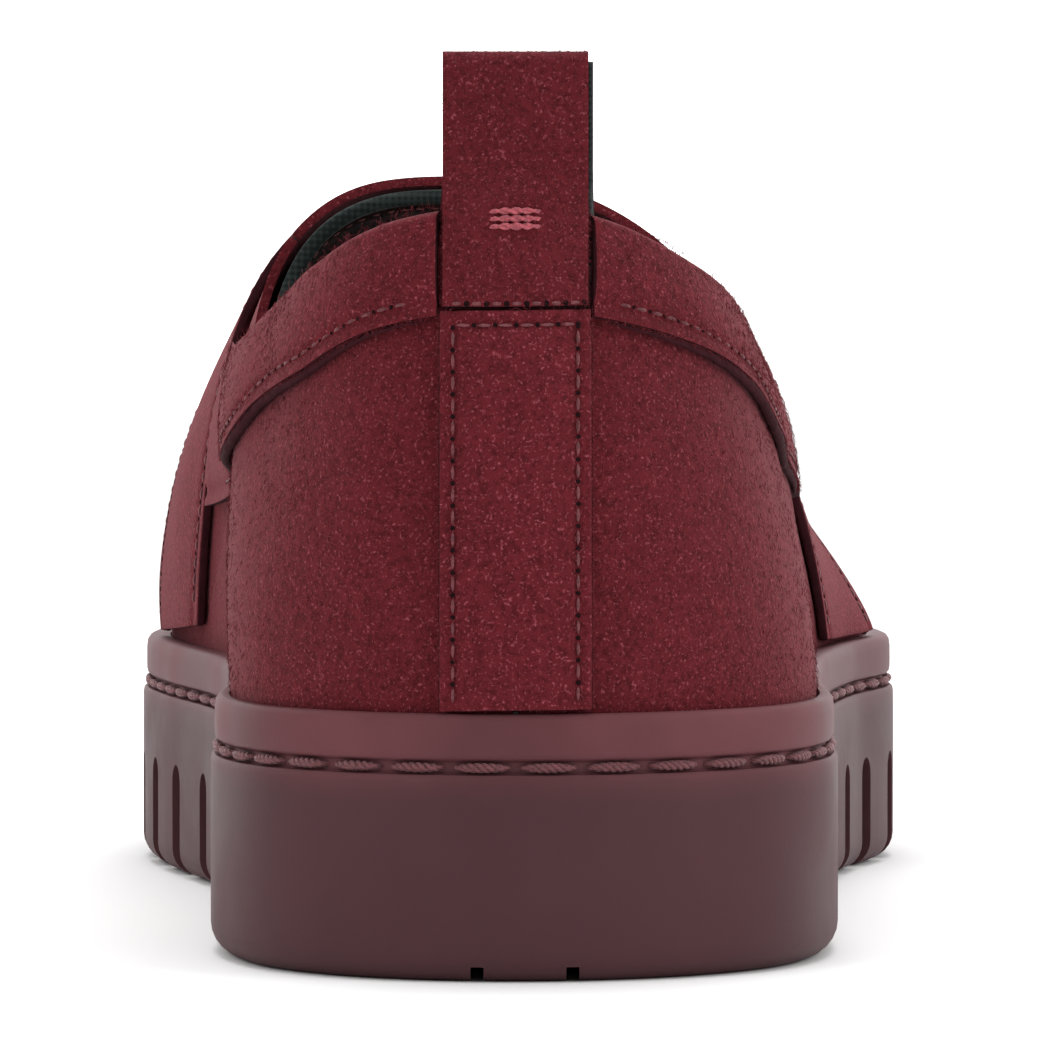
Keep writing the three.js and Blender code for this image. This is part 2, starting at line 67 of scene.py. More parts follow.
bm = bmesh.new()
bmesh.ops.create_grid(bm, x_segments=2, y_segments=2, size=6)
floor_mesh = bpy.data.meshes.new("studio_floor")
bm.to_mesh(floor_mesh)
bm.free()
floor = bpy.data.objects.new("studio_floor", floor_mesh)
scene.collection.objects.link(floor)
paper = bpy.data.materials.new("studio_paper")
paper.use_nodes = True
paper_shader = paper.node_tree.nodes["Principled BSDF"]
paper_shader.inputs["Base Color"].default_value = (0.93, 0.93, 0.93, 1)
paper_shader.inputs["Roughness"].default_value = 0.9
paper_shader.inputs["Emission Color"].default_value = (1, 1, 1, 1)
paper_shader.inputs["Emission Strength"].default_value = 0.0
floor_mesh.materials.append(paper)

bm = bmesh.new()
bmesh.ops.create_grid(bm, x_segments=2, y_segments=2, size=6)
bmesh.ops.rotate(bm, verts=bm.verts, matrix=Matrix.Rotation(math.radians(90), 3, "X"))
bmesh.ops.translate(bm, verts=bm.verts, vec=(0, 3, 5.9))
screen_mesh = bpy.data.meshes.new("studio_screen")
bm.to_mesh(screen_mesh)
bm.free()
screen = bpy.data.objects.new("studio_screen", screen_mesh)
scene.collection.objects.link(screen)
glow = bpy.data.materials.new("lit_screen")
glow.use_nodes = True
glow_shader = glow.node_tree.nodes["Principled BSDF"]
glow_shader.inputs["Base Color"].default_value = (0.9, 0.9, 0.9, 1)
glow_shader.inputs["Emission Color"].default_value = (1, 1, 1, 1)
glow_shader.inputs["Emission Strength"].default_value = 1.0
screen_mesh.materials.append(glow)

world = bpy.data.worlds.new("studio")
scene.world = world
world.use_nodes = True
world.node_tree.nodes["Background"].inputs["Color"].default_value = (1, 1, 1, 1)
world.node_tree.nodes["Background"].inputs["Strength"].default_value = 0.62


def softbox(name, place, aim, size, watts):
    lamp = bpy.data.lights.new(name, "AREA")
    lamp.shape = "RECTANGLE"
    lamp.size, lamp.size_y = size
    lamp.energy = watts
    box = bpy.data.objects.new(name, lamp)
    box.location = place
    box.rotation_euler = (Vector(aim) - Vector(place)).to_track_quat("-Z", "Y").to_euler()
    scene.collection.objects.link(box)


softbox("key_left", (-0.9, -0.9, 0.9), (0, 0, 0.05), (0.6, 0.8), 4)
softbox("fill_right", (1.0, -0.5, 0.6), (0, 0, 0.05), (0.5, 0.8), 4)
softbox("top", (0, 0.1, 1.2), (0, 0, 0.05), (0.9, 0.9), 8)

# The last: the foot-shaped form every layer of the shoe is pulled over. A place on it is a
# station, 0 at the heel round by the outer side to 14 at the toe and back to 28, and a rise,
# 0 at the sole's rim up to 1 on the ridge. Shaping is in millimetres.
ball_half = 44
sole_height = 30.8
instep = 62
upper_foot = 7.5
last_start = 6.3
last_length = 257.9
inner_fullness = 0.1
stations = [
    [0, -0.011, -0.011, -0.051, 0.107, 1.516, 2, 2],
    [0.011, -0.3, 0.277, -0.054, 0.119, 1.49, 1.78, 1.76],
    [0.042, -0.52, 0.52, -0.046, 0.138, 1.45, 1.55, 1.56],
    [0.086, -0.645, 0.665, -0.043, 0.169, 1.38, 1.5, 1.48],
    [0.15, -0.7, 0.725, -0.07, 0.208, 1.27, 1.85, 1.52],
    [0.266, -0.685, 0.72, -0.13, 0.286, 1.11, 2.75, 1.82],
    [0.383, -0.69, 0.73, -0.165, 0.387, 0.963, 3.4, 2.35],
    [0.499, -0.77, 0.765, -0.23, 0.499, 0.845, 3.2, 2.25],
    [0.615, -0.92, 0.86, -0.3, 0.608, 0.665, 2.7, 1.8],
    [0.712, -1.004, 0.995, -0.29, 0.701, 0.508, 2.35, 1.62],
    [0.809, -0.966, 0.943, -0.18, 0.778, 0.427, 2.25, 1.8],
    [0.898, -0.83, 0.8, -0.1, 0.84, 0.379, 2.2, 2.1],
    [0.96, -0.6, 0.55, -0.06, 0.88, 0.352, 2.2, 2.2],
    [0.991, -0.33, 0.27, -0.03, 0.9, 0.335, 2.2, 2.2],
    [1, -0.03, -0.03, -0.03, 0.906, 0.329, 2.2, 2.2],
]
toe = 14
round_all = 28
ring_rows = []
for k in range(round_all):
    row = stations[k if k <= toe else round_all - k]
    y, inner, outer, ridge_x, ridge_y, ridge_z, square_in, square_out = row
    rim_x, square, full = (outer, square_out, 0) if k <= toe else (inner, square_in, inner_fullness)
    ring_rows.append([rim_x, y, ridge_x, ridge_y, ridge_z, square, full])
ring_rows = np.array(ring_rows)
ring_rows[:, [0, 2]] *= ball_half
ring_rows[:, [1, 3]] = last_start + ring_rows[:, [1, 3]] * last_length
ring_rows[:, 4] *= instep

heel_x = (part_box("pull_tab")[0][0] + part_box("pull_tab")[1][0]) * 500
to_frame = np.array([heel_x - stations[0][1] * ball_half, heel_back * 1000, 0])


def cubic(a, b, c, d, share):
    return b + 0.5 * share * (c - a + share * (2 * a - 5 * b + 4 * c - d + share * (3 * (b - c) + d - a)))


def ring(station):
    station = np.asarray(station, float)
    i = np.floor(station).astype(int)
    near = [ring_rows[(i + k) % round_all] for k in (-1, 0, 1, 2)]
    return cubic(*near, (station - i)[..., None])


def along(values, place):
    values = np.array(values, float)
    end = len(values) - 1
    place = np.clip(np.asarray(place, float), 0, end)
    i = np.minimum(np.floor(place).astype(int), end - 1)
    near = [values[np.clip(i + k, 0, end)] for k in (-1, 0, 1, 2)]
    return cubic(*near, place - i)


def last(station, rise):
    station, rise = np.broadcast_arrays(np.asarray(station, float), np.asarray(rise, float))
    over = rise > 1
    station = np.where(over, round_all - station, station)
    rise = np.where(over, 2 - rise, rise)
    rim_x, rim_y, ridge_x, ridge_y, ridge_z, square, full = np.moveaxis(ring(station), -1, 0)
    turn = np.clip(rise, 0, 1) * math.pi / 2
    reach = np.maximum(np.cos(turn), 0) ** (2 / square) + full * np.sin(2 * turn)
    height = ridge_z * np.sin(turn) ** (2 / square) + np.minimum(rise, 0) * upper_foot
    x = ridge_x + (rim_x - ridge_x) * reach
    y = ridge_y + (rim_y - ridge_y) * reach
    return np.stack([x, y, sole_height + height], -1)


def lift(y):
    return 4 * np.maximum(0, (y - 200) / 72) ** 2


def skin(station, rise, out):
    e = 0.01
    ahead = last(station + e, rise) - last(station - e, rise)
    up = last(station, rise + e) - last(station, rise - e)
    normal = np.cross(ahead, up)
    size = np.linalg.norm(normal, axis=-1, keepdims=True)
    normal = np.where(size < 1e-9, [0, 0, 1], normal / np.maximum(size, 1e-9))
    moved = last(station, rise) + normal * np.asarray(out, float)[..., None]
    moved[..., 2] += lift(moved[..., 1])
    return (moved + to_frame) / 1000


def rise_at(station, height):
    rows = ring(station)
    share = np.clip(height / rows[..., 4], 0, 1)
    above = np.arcsin(share ** (rows[..., 5] / 2)) * 2 / math.pi
    return np.where(np.asarray(height) <= 0, np.asarray(height) / upper_foot, above)


def height_at(station, rise):
    rows = ring(station)
    turn = np.clip(rise, 0, 1) * math.pi / 2
    return rows[..., 4] * np.sin(turn) ** (2 / rows[..., 5]) + np.minimum(rise, 0) * upper_foot


def mix(a, b, share):
    return a + (b - a) * share


def fold(station):
    return np.minimum(np.abs(station), np.abs(round_all - station))


def by_side(station, outer_values, inner_values):
    outer = (np.asarray(station) >= 0) & (np.asarray(station) <= toe)
    return np.where(outer, along(outer_values, fold(station)), along(inner_values, fold(station)))


# heights above the rim, station by station from the heel to the throat
outer_topline = [58.2, 55.7, 51.1, 47.4, 43.5, 40.6, 39.5]
inner_topline = [58.2, 56.3, 51.6, 47.2, 42.6, 40.9, 40]
outer_band_depth = [12.5, 12.2, 11.2, 11.9, 13.6, 15, 17, 20, 22]
inner_band_depth = [12.5, 12.6, 13.5, 12.8, 13.5, 14.8, 17.2, 20, 22]
throat = 6.112


def topline(station):
    return by_side(station, outer_topline, inner_topline)


def collar_low(station):
    return topline(station) - by_side(station, outer_band_depth, inner_band_depth)


def plug_edge(station):
    return along([0.62, 0.61, 0.59, 0.57, 0.56, 0.545, 0.53, 0.52, 0.515], fold(station) - 6)


def saddle_rear(rise):
    return mix(6.42, 7.6, np.clip(1 - rise, 0, 1) ** 1.6)


def saddle_front(rise):
    return mix(7.4, 8.9, np.clip(1 - rise, 0, 1) ** 1.6)


def quarter_front(height):
    return mix(7.7, 6.1, np.clip(height / 40, 0, 1))


# the station where a face standing off the heel is x millimetres from its middle, at a height
def across_heel(x, height, out):
    x, height = np.broadcast_arrays(np.asarray(x, float), np.asarray(height, float))
    low, high = np.full(x.shape, -3.0), np.full(x.shape, 3.0)
    for _ in range(26):
        middle = (low + high) / 2
        left = skin(middle, rise_at(middle, height), out)[..., 0] * 1000 < x + heel_x
        low, high = np.where(left, middle, low), np.where(left, high, middle)
    return (low + high) / 2


def sheet_grid(cols, rows):
    bm = bmesh.new()
    bmesh.ops.create_grid(bm, x_segments=cols, y_segments=rows, size=1)
    flat = np.array([v.co[:] for v in bm.verts])
    return bm, (flat[:, 0] + 1) / 2, (flat[:, 1] + 1) / 2


def put(bm, points):
    for v, p in zip(bm.verts, points):
        v.co = p


def loose_mesh(bm, name, finish=None):
    mesh = bpy.data.meshes.new(name)
    bm.to_mesh(mesh)
    bm.free()
    if finish:
        mesh.polygons.foreach_set("use_smooth", [True] * len(mesh.polygons))
        mesh.materials.append(finish)
    piece = bpy.data.objects.new(name, mesh)
    scene.collection.objects.link(piece)
    return piece


def finish_mesh(bm, name, finish, replaces=()):
    piece = loose_mesh(bm, name, finish)
    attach(piece, "shoe")
    if replaces:
        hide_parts(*replaces)
    return piece


def thicken(piece, thickness, edge=0.3, segments=2):
    solid = piece.modifiers.new("thickness", "SOLIDIFY")
    solid.thickness = thickness / 1000
    solid.offset = -1
    if edge:
        soft = piece.modifiers.new("cut_edge", "BEVEL")
        soft.width = edge / 1000
        soft.segments = segments
        soft.limit_method = "ANGLE"
        soft.angle_limit = math.radians(55)


# A layer of the upper cut from sheet and pulled over the last. place(u, v) gives its stations
# and rises, out its outer face's distance from the last. Suede lies in long shallow swells.
def cut_sheet(name, cols, rows, place, out, thickness, finish, slot, replaces, joined=False, edge=0.3):
    bm, u, v = sheet_grid(cols, rows)
    station, rise = place(u, v)
    distance = out(u, v) if callable(out) else np.full(u.shape, float(out))
    if slot.startswith("suede"):
        places = zip(station.tolist(), rise.tolist())
        swells = [noise.noise(Vector((a * 1.1, b * 4.5, 3.0))) for a, b in places]
        distance = distance + 0.22 * np.array(swells)
    put(bm, skin(station, rise, distance))
    bm.faces.ensure_lookup_table()
    face = bm.faces[len(bm.faces) // 2 + cols // 4]
    face.normal_update()
    k = face.verts[0].index
    outward = skin(station[k], rise[k], distance[k] + 1) - skin(station[k], rise[k], distance[k])
    if face.normal.dot(Vector(outward)) < 0:
        bmesh.ops.reverse_faces(bm, faces=bm.faces)
    if joined:
        bmesh.ops.remove_doubles(bm, verts=bm.verts, dist=2e-6)
    piece = finish_mesh(bm, name, finish, replaces=replaces)
    thicken(piece, thickness, edge)
    return piece


def across(u, station):
    return np.where(u < 0.5, station, round_all - station)


def wall_height(v, top, foot=0.14):
    return np.where(v < foot, mix(-upper_foot, 0, v / foot), mix(0, top, (v - foot) / (1 - foot)))


# Materials are built from small node chains: a coordinate, some noise, a bump.
def finish_nodes(name, roughness, sheen=0.0, sheen_tint=(1, 1, 1), specular=0.5):
    finish = bpy.data.materials.new(name)
    finish.use_nodes = True
    tree = finish.node_tree
    shader = tree.nodes["Principled BSDF"]
    shader.inputs["Roughness"].default_value = roughness
    shader.inputs["Sheen Weight"].default_value = sheen
    shader.inputs["Sheen Roughness"].default_value = 0.45
    shader.inputs["Sheen Tint"].default_value = (*sheen_tint, 1)
    shader.inputs["Specular IOR Level"].default_value = specular
    return finish, tree, shader


def object_place(tree, stretch=(1, 1, 1)):
    where = tree.nodes.new("ShaderNodeTexCoord")
    mapping = tree.nodes.new("ShaderNodeMapping")
    mapping.inputs["Scale"].default_value = stretch
    tree.links.new(where.outputs["Object"], mapping.inputs["Vector"])
    return mapping.outputs["Vector"]


def noise_of(tree, place, millimetres, detail=2, rough=0.6):
    grain = tree.nodes.new("ShaderNodeTexNoise")
    grain.inputs["Scale"].default_value = 1000 / millimetres
    grain.inputs["Detail"].default_value = detail
    grain.inputs["Roughness"].default_value = rough
    tree.links.new(place, grain.inputs["Vector"])
    return grain.outputs["Fac"]


def spread(tree, value, low, high, to_low=0.0, to_high=1.0):
    level = tree.nodes.new("ShaderNodeMapRange")
    level.interpolation_type = "SMOOTHSTEP"
    for label, number in zip(("From Min", "From Max", "To Min", "To Max"), (low, high, to_low, to_high)):
        level.inputs[label].default_value = number
    tree.links.new(value, level.inputs["Value"])
    return level.outputs["Result"]


def tint(tree, share, first, second):
    blend = tree.nodes.new("ShaderNodeMix")
    blend.data_type = "RGBA"
    tree.links.new(share, blend.inputs["Factor"])
    for socket, colour in zip((blend.inputs[6], blend.inputs[7]), (first, second)):
        if isinstance(colour, tuple):
            socket.default_value = (*colour, 1)
        else:
            tree.links.new(colour, socket)
    return blend.outputs[2]


def bump(tree, height, millimetres, strength=1.0, under=None):
    dent = tree.nodes.new("ShaderNodeBump")
    dent.inputs["Distance"].default_value = millimetres / 1000
    dent.inputs["Strength"].default_value = strength
    tree.links.new(height, dent.inputs["Height"])
    if under:
        tree.links.new(under, dent.inputs["Normal"])
    return dent.outputs["Normal"]


# Cup sole: one moulded, slightly clear rubber tray with a raised rim, a sewing groove under it,
# a plain heel wall and lugs cut round the forefoot. The upper stands inside it.
rim_inner = 4.1
lug_first, lug_last, lug_count = 6.55, 21.45, 27


def rubber(name, low, high):
    finish, tree, shader = finish_nodes(name, 0.6, specular=0.08)
    place = object_place(tree)
    parts = tree.nodes.new("ShaderNodeSeparateXYZ")
    tree.links.new(place, parts.inputs["Vector"])
    # the rim above about 20-27 mm is painted lighter and redder than the wall below: painted light on the
    # raised lip and painted shade on the wall under it
    rim_light_share = spread(tree, parts.outputs["Z"], 0.02, 0.027)
    clouds = spread(tree, noise_of(tree, place, 32, 3), 0.3, 0.7)
    wall = tint(tree, clouds, tuple(c * 0.92 for c in low), tuple(c * 1.08 for c in low))
    rim = tint(tree, clouds, tuple(c * 0.8 for c in high), tuple(c * 1.15 for c in high))
    tree.links.new(tint(tree, rim_light_share, wall, rim), shader.inputs["Base Color"])
    skin_grain = noise_of(tree, place, 0.5, 2)
    pores = noise_of(tree, place, 2.2, 2)
    tree.links.new(spread(tree, clouds, 0, 1, 0.46, 0.58), shader.inputs["Roughness"])
    rough = bump(tree, skin_grain, 0.03, 0.6)
    tree.links.new(bump(tree, pores, 0.04, 0.4, rough), shader.inputs["Normal"])
    shader.inputs["Subsurface Weight"].default_value = 0.12
    shader.inputs["Subsurface Radius"].default_value = (1.0, 0.35, 0.3)
    shader.inputs["Subsurface Scale"].default_value = 0.003
    return finish


def rim_plan(station, out):
    e = 0.02
    row = ring(station)[..., :2]
    ahead = ring(np.asarray(station) + e)[..., :2] - ring(np.asarray(station) - e)[..., :2]
    ahead /= np.linalg.norm(ahead, axis=-1, keepdims=True)
    side = np.stack([ahead[..., 1], -ahead[..., 0]], -1)
    return row + side * np.asarray(out, float)[..., None], side


def rim_out(station):
    share = np.clip((ring(station)[..., 1] / 272 - 0.3) / 0.35, 0, 1)
    return rim_inner + mix(2.2, 3.7, share * share * (3 - 2 * share))


def sole_point(station, out, z):
    plan, _ = rim_plan(station, out)
    points = np.concatenate([plan, np.asarray(z, float)[..., None] + lift(plan[..., 1:2])], -1)
    return (points + to_frame) / 1000


round_edge = [(3.5 * (1 - math.sin(a)), 3.5 * (1 - math.cos(a))) for a in np.linspace(0, math.pi / 2, 7)]
wall_and_rim = [(0, 6), (0, 9), (0, 12), (0, 16), (0, 20), (0.02, 23), (0.12, 23.5), (0.45, 23.8)]
wall_and_rim += [(1.25, 23.85), (1.5, 24.1), (1.5, 25.2), (1.25, 25.45), (0.9, 25.5)]
wall_and_rim += [(0.6, 25.8), (0.5, 26.3), (0.48, 27.5), (0.5, 29.2), (0.62, 30.1), (0.95, 30.6), (1.4, 30.8)]
side_profile = [(a, 0, z) for a, z in [(16, 0), (12, 0)] + round_edge + wall_and_rim]
side_profile += [(0, 1, z) for z in (sole_height, 30.2, 24, 14)]
side_profile = np.array(side_profile)
around = 560
bm, u, v = sheet_grid(around, len(side_profile) - 1)
level = np.rint(v * (len(side_profile) - 1)).astype(int)
station = u * round_all
wall = rim_out(station)
inward = side_profile[level, 0] + side_profile[level, 1] * (wall - rim_inner)
put(bm, sole_point(station, wall - inward, side_profile[level, 2]))
for depth_in, z, cols in ((16.0, 0.0, 16), (None, 14.0, 4)):
    floor_bm, u, v = sheet_grid(cols, around // 2)
    first, second = v * toe, round_all - v * toe
    offsets = [rim_inner if depth_in is None else rim_out(s) - depth_in for s in (first, second)]
    ends = [sole_point(s, o * np.ones_like(s), z * np.ones_like(s)) for s, o in zip((first, second), offsets)]
    put(floor_bm, mix(*ends, u[:, None]))
    patch = bpy.data.meshes.new("patch")
    floor_bm.to_mesh(patch)
    floor_bm.free()
    bm.from_mesh(patch)
    bpy.data.meshes.remove(patch)
bmesh.ops.remove_doubles(bm, verts=bm.verts, dist=1e-5)
bmesh.ops.dissolve_degenerate(bm, edges=bm.edges, dist=1e-6)
bmesh.ops.recalc_face_normals(bm, faces=bm.faces)
# wall tone, then the rim tone painted lighter and redder as painted light on the lip
sole_rubber = rubber("sole_rubber", (0.073, 0.031, 0.035), (0.124, 0.043, 0.049))
sole = finish_mesh(bm, "cup_sole_moulding", sole_rubber, replaces=["cup_sole"])

# the mould's fins that leave the lug grooves, and the channels under the heel and the ball
cutter = bmesh.new()
for i in range(lug_count):
    station = mix(lug_first, lug_last, i / (lug_count - 1))
    (x, y), side = rim_plan(station, rim_out(station))
    width = 5.0 if abs(station - toe) >= 3 else 4.0
    made = bmesh.ops.create_circle(cutter, cap_ends=True, segments=20, radius=width / 2)["verts"]
    for vert in made:
        vert.co.y = vert.co.y + 15 - width / 2 if vert.co.y > 0.001 else (-3 if vert.co.y < -0.001 else 12)
    face = next(f for f in made[0].link_faces if len(f.verts) > 4)
    grown = bmesh.ops.extrude_face_region(cutter, geom=[face])
    grown_verts = [g for g in grown["geom"] if isinstance(g, bmesh.types.BMVert)]
    bmesh.ops.translate(cutter, verts=grown_verts, vec=(0, 0, 9))
    turned = Matrix(((side[1], 0, -side[0]), (-side[0], 0, -side[1]), (0, 1, 0))).to_4x4()
    shift = Matrix.Translation((x + side[0] * 5.8, y + side[1] * 5.8, float(lift(y))))
    bmesh.ops.transform(cutter, verts=made + grown_verts, matrix=shift @ turned)
channels = [(side * 5.5, 30, 1.5, 78) for side in (-1, 1)]
channels += [(0, 138 + i * 16.7, 55, 3) for i in range(4)]
for x, y, wide, long in channels:
    made = bmesh.ops.create_cube(cutter, size=1)["verts"]
    bmesh.ops.scale(cutter, verts=made, vec=(wide, long, 3.6))
    bmesh.ops.translate(cutter, verts=made, vec=(x + 0.6, y, 0))
for vert in cutter.verts:
    vert.co = (np.array(vert.co[:]) + to_frame) / 1000
bmesh.ops.recalc_face_normals(cutter, faces=cutter.faces)
cutter_piece = loose_mesh(cutter, "lug_cutter")


def carve(piece, tool):
    joint = piece.modifiers.new("cut", "BOOLEAN")
    joint.operation = "DIFFERENCE"
    joint.solver = "EXACT"
    joint.object = tool
    joint.use_self = True
    view = bpy.context.evaluated_depsgraph_get()
    cut_mesh = bpy.data.meshes.new_from_object(piece.evaluated_get(view))
    piece.modifiers.remove(joint)
    piece.data = cut_mesh
    bpy.data.objects.remove(tool)


carve(sole, cutter_piece)
sole.data.set_sharp_from_angle(angle=math.radians(38))

# Inside the sole: a foam filler with the spring-steel shank let into it, a pressed fibre board
# over both, then a cushioned footbed and its textile cover, all glued in the rubber tray.
def plain_look(name, colour, roughness, grain=1.0, depth=0.05, metal=0.0, streak=(1, 1, 1)):
    finish, tree, shader = finish_nodes(name, roughness, specular=0.5 if metal else 0.08)
    place = object_place(tree, streak)
    shade = spread(tree, noise_of(tree, place, grain * 6, 3), 0.3, 0.7)
    dark, light = (tuple(c * k for c in colour) for k in (0.8, 1.15))
    tree.links.new(tint(tree, shade, dark, light), shader.inputs["Base Color"])
    tree.links.new(bump(tree, noise_of(tree, place, grain), depth, 0.7), shader.inputs["Normal"])
    shader.inputs["Metallic"].default_value = metal
    return finish


def relook(node, finish):
    mesh = bpy.data.objects[node].data
    mesh.materials.clear()
    mesh.materials.append(finish)


relook("midsole_filler", plain_look("filler_foam", (0.07, 0.045, 0.045), 0.85, 1.2, 0.12))
relook("shank", plain_look("shank_steel", (0.5, 0.5, 0.52), 0.35, 0.6, 0.01, 1.0, (6, 0.4, 1)))
relook("insole_board", plain_look("fibre_board", (0.28, 0.2, 0.11), 0.9, 0.8, 0.08))


def weave_look(name, dark, light, thread, depth=0.12, sheen=0.2, roughness=0.85):
    finish, tree, shader = finish_nodes(name, roughness, sheen, specular=0.1)
    place = object_place(tree)
    bands = []
    for direction in ("X", "Y", "Z"):
        wave = tree.nodes.new("ShaderNodeTexWave")
        wave.bands_direction = direction
        wave.inputs["Scale"].default_value = 1000 / thread / 20 * math.pi
        wave.inputs["Distortion"].default_value = 0.6
        wave.inputs["Detail"].default_value = 1
        tree.links.new(place, wave.inputs["Vector"])
        bands.append(wave.outputs["Fac"])
    total = bands[0]
    for band in bands[1:]:
        join = tree.nodes.new("ShaderNodeMath")
        join.operation = "ADD"
        tree.links.new(total, join.inputs[0])
        tree.links.new(band, join.inputs[1])
        total = join.outputs[0]
    level = spread(tree, total, 0.6, 2.4)
    tree.links.new(tint(tree, level, dark, light), shader.inputs["Base Color"])
    tree.links.new(bump(tree, level, depth, 0.8), shader.inputs["Normal"])
    return finish


def bed_sheet(name, out, z, thickness, finish, replaces, dish=0.0, edge=0.5):
    bm, u, v = sheet_grid(28, 150)
    first, second = v * toe, round_all - v * toe
    offset = np.full(u.shape, float(out))
    height = np.full(u.shape, float(z))
    ends = [sole_point(s, offset, height) for s in (first, second)]
    points = mix(*ends, u[:, None])
    forward = np.clip(1 - v * 1.7, 0, 1)
    points[:, 2] += dish / 1000 * (np.abs(2 * u - 1) ** 2.4) * forward
    put(bm, points)
    bmesh.ops.remove_doubles(bm, verts=bm.verts, dist=2e-6)
    bmesh.ops.recalc_face_normals(bm, faces=bm.faces)
    if sum(f.normal.z for f in bm.faces) < 0:
        bmesh.ops.reverse_faces(bm, faces=bm.faces)
    piece = finish_mesh(bm, name, finish, replaces=replaces)
    thicken(piece, thickness, edge)
    return piece


lining_cloth = weave_look("lining_cloth", (0.008, 0.004, 0.004), (0.022, 0.01, 0.009), 0.55, 0.1, 0.05)
cushion_foam = plain_look("cushion_foam", (0.15, 0.12, 0.1), 0.95, 0.7, 0.1)
stiff_sheet = plain_look("stiffener_sheet", (0.48, 0.44, 0.36), 0.8, 1.0, 0.05)
cover_cloth = weave_look("footbed_cloth", (0.03, 0.013, 0.014), (0.075, 0.03, 0.03), 0.6)
footbed = bed_sheet("footbed_cushion", -0.7, 29.1, 4, cushion_foam, ["footbed"], 1.4)
bed_sheet("footbed_cover", -0.75, 30.25, 0.8, cover_cloth, ["sock_lining"], 1.4, 0.2)

# Linings: dark woven cloth, one piece round the heel and one under the vamp, each sewn into the
# edge of the mouth and gathered under the insole board.
top_drop = 1.9
def round_heel(end, height_of):
    def place(u, v):
        station = mix(-end, end, u)
        return station, rise_at(station, height_of(station, v))

    return place


cut_sheet(
    "heel_lining_cloth", 190, 40, round_heel(6.1, lambda s, v: wall_height(v, topline(s) - top_drop)),
    0.8, 0.8, lining_cloth, "lining", ["heel_lining"], edge=0,
)
cut_sheet(
    "vamp_lining_cloth", 80, 60,
    lambda u, v: (across(u, mix(throat, toe, v)), mix(1, -1, np.abs(2 * u - 1))),
    0.8, 0.8, lining_cloth, "lining", ["vamp_lining"], joined=True, edge=0,
)

# Stiffeners and padding between lining and suede: a moulded heel counter, a toe puff, and a
# strip of foam round the topline.
cut_sheet(
    "heel_counter_sheet", 120, 24, round_heel(5.2, lambda s, v: wall_height(v, 29.6, 0.2)),
    2.3, 1.2, stiff_sheet, "stiffener", ["heel_counter"],
)
cut_sheet(
    "toe_puff_sheet", 60, 26,
    lambda u, v: (across(u, mix(11.2, toe, v)), mix(1, -1, np.abs(2 * u - 1))),
    2.3, 0.8, stiff_sheet, "stiffener", ["toe_puff"], joined=True,
)
pad = cut_sheet(
    "collar_padding", 150, 14, round_heel(5.95, lambda s, v: mix(30.2, topline(s) - top_drop, v)),
    2.3, 1.2, cushion_foam, "foam", ["collar_foam"],
)


# Suede: the flesh side of the hide, brushed to a short nap that turns lighter and darker where
# it has been stroked, with pale loose fibres on the surface.
def suede(name, colour, fleck=1.0, seed=0.0):
    finish, tree, shader = finish_nodes(name, 0.92, 0.16, (1, 0.45, 0.5), 0.08)
    place = object_place(tree)
    shift = tree.nodes.new("ShaderNodeVectorMath")
    shift.operation = "ADD"
    shift.inputs[1].default_value = (seed, seed * 0.7, 0)
    tree.links.new(place, shift.inputs[0])
    place = shift.outputs[0]
    stroked = spread(tree, noise_of(tree, place, 26, 3), 0.34, 0.66)
    mottle = spread(tree, noise_of(tree, place, 3.4, 3, 0.65), 0.33, 0.68)
    nap = noise_of(tree, place, 0.75, 3, 0.75)
    fibre = noise_of(tree, place, 0.36, 2, 0.6)
    tones = [tuple(c * k for c in colour) for k in (0.62, 0.92, 1.0, 1.3)]
    base = tint(tree, stroked, tones[1], tones[2])
    dark = spread(tree, mottle, 0, 1, 0.36, 0)
    base = tint(tree, dark, base, tones[0])
    # the nap's low spots are painted darker: painted shade in the nap's pits, laid over the nap's own uneven
    # tone
    pit_shade = spread(tree, nap, 0.54, 0.36, 0, 0.7)
    base = tint(tree, pit_shade, base, tuple(c * 0.4 for c in colour))
    pale = spread(tree, fibre, 0.56, 0.74, 0, 0.75 * fleck)
    light = (colour[0] * 2.6, colour[1] * 5.6, colour[2] * 5.0)
    base = tint(tree, pale, base, light)
    tree.links.new(base, shader.inputs["Base Color"])
    rough = bump(tree, mottle, 0.12, 0.35)
    rough = bump(tree, nap, 0.22, 0.75, rough)
    tree.links.new(bump(tree, fibre, 0.1, 0.6, rough), shader.inputs["Normal"])
    return finish


nap_colour = (0.118, 0.0125, 0.0175)
body_suede = suede("body_suede", nap_colour)
trim_suede = suede("trim_suede", tuple(c * 1.04 for c in nap_colour), 1.1, 0.31)
# the cut edges' dark colour is painted shade of the edge faces, which face down and away from the lamps
raw_edge_shade = plain_look("raw_suede_edge_shade", (0.035, 0.008, 0.011), 0.95, 0.4, 0.1)
suede_out, trim_out, hide = 3.8, 5.4, 1.2


def near(distance, width):
    return np.exp(-((distance / width) ** 2))


# gives a sheet's cut rim the dark raw-edge colour: painted shade of the edge
def edged(piece):
    piece.data.materials.append(raw_edge_shade)
    piece.modifiers["thickness"].material_offset_rim = 1
    return piece


# Quarters: the two suede sides, closed edge to edge at the middle of the heel under the
# backstay, padded by the collar foam, and standing in the tray behind the rim.
def quarter(side, name, node):
    def place(u, v):
        station = mix(0.02, quarter_front(wall_height(v, 40)) + 0.06, u)
        return side * station, rise_at(side * station, wall_height(v, topline(side * station) - top_drop))

    def out(u, v):
        return suede_out + 0.5 * near(u - 0.9, 0.2) * v - 0.7 * np.clip((v - 0.95) / 0.05, 0, 1) ** 2

    return cut_sheet(name, 150, 60, place, out, hide, body_suede, "suede", [node])


quarter(1, "quarter_suede_outer", "quarter_outer")
quarter(-1, "quarter_suede_inner", "quarter_inner")


